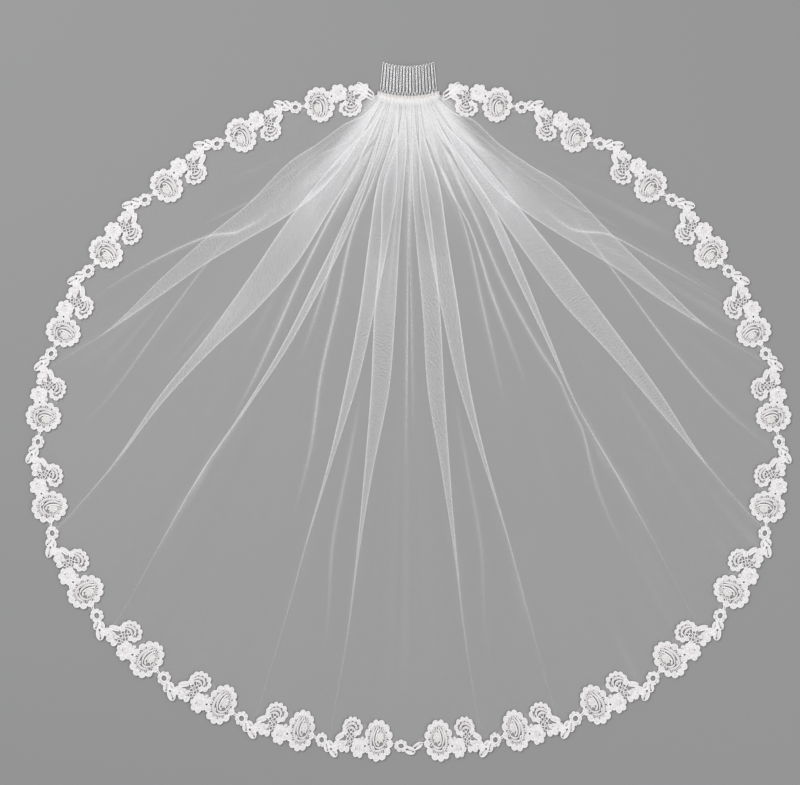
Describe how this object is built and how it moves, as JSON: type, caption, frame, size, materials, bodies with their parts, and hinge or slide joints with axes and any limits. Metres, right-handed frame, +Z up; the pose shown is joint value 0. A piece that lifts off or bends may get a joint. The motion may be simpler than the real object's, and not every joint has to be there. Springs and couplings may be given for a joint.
{
  "type": "veil",
  "caption": "Fingertip bridal veil laid flat: sheer tulle gathered onto a wire hair comb, its edge trimmed all round with corded flower lace.",
  "frame": {"origin": "middle of the veil's outline, on the surface that it lies on", "axes": "+Z up off the surface, +Y from the hem towards the comb, +X to the right of the veil as it is seen from above with the comb at the top"},
  "size_m": [1.0696, 0.9778, 0.0129],
  "materials": {
    "tulle": "sheer off-white nylon net with a soft, faintly lilac haze where its layers lie on each other",
    "lace": "warm white corded embroidery lace, satin stitch with small beads, low sheen",
    "ribbon": "white tulle and ribbon binding, matte, stitched over the comb's bar",
    "steel": "bright silvery plated spring wire, smooth"
  },
  "bodies": {
    "root": {"tulle": "tulle", "gathering_band": "ribbon", "comb_bar": "steel", "comb_tooth_01": "steel", "comb_tooth_02": "steel", "comb_tooth_03": "steel", "comb_tooth_04": "steel", "comb_tooth_05": "steel", "comb_tooth_06": "steel", "comb_tooth_07": "steel", "comb_tooth_08": "steel", "comb_tooth_09": "steel", "comb_tooth_10": "steel", "comb_tooth_11": "steel", "comb_tooth_12": "steel", "comb_tooth_13": "steel", "comb_tooth_14": "steel", "comb_tooth_15": "steel", "comb_tooth_16": "steel", "comb_tooth_17": "steel", "lace_left_01": "lace", "lace_left_02": "lace", "lace_left_03": "lace", "lace_left_04": "lace", "lace_left_05": "lace", "lace_left_06": "lace", "lace_left_07": "lace", "lace_left_08": "lace", "lace_left_09": "lace", "lace_left_10": "lace", "lace_left_11": "lace", "lace_left_12": "lace", "lace_right_01": "lace", "lace_right_02": "lace", "lace_right_03": "lace", "lace_right_04": "lace", "lace_right_05": "lace", "lace_right_06": "lace", "lace_right_07": "lace", "lace_right_08": "lace", "lace_right_09": "lace", "lace_right_10": "lace", "lace_right_11": "lace", "lace_right_12": "lace", "lace_bottom_link": "lace"}
  },
  "joints": []
}
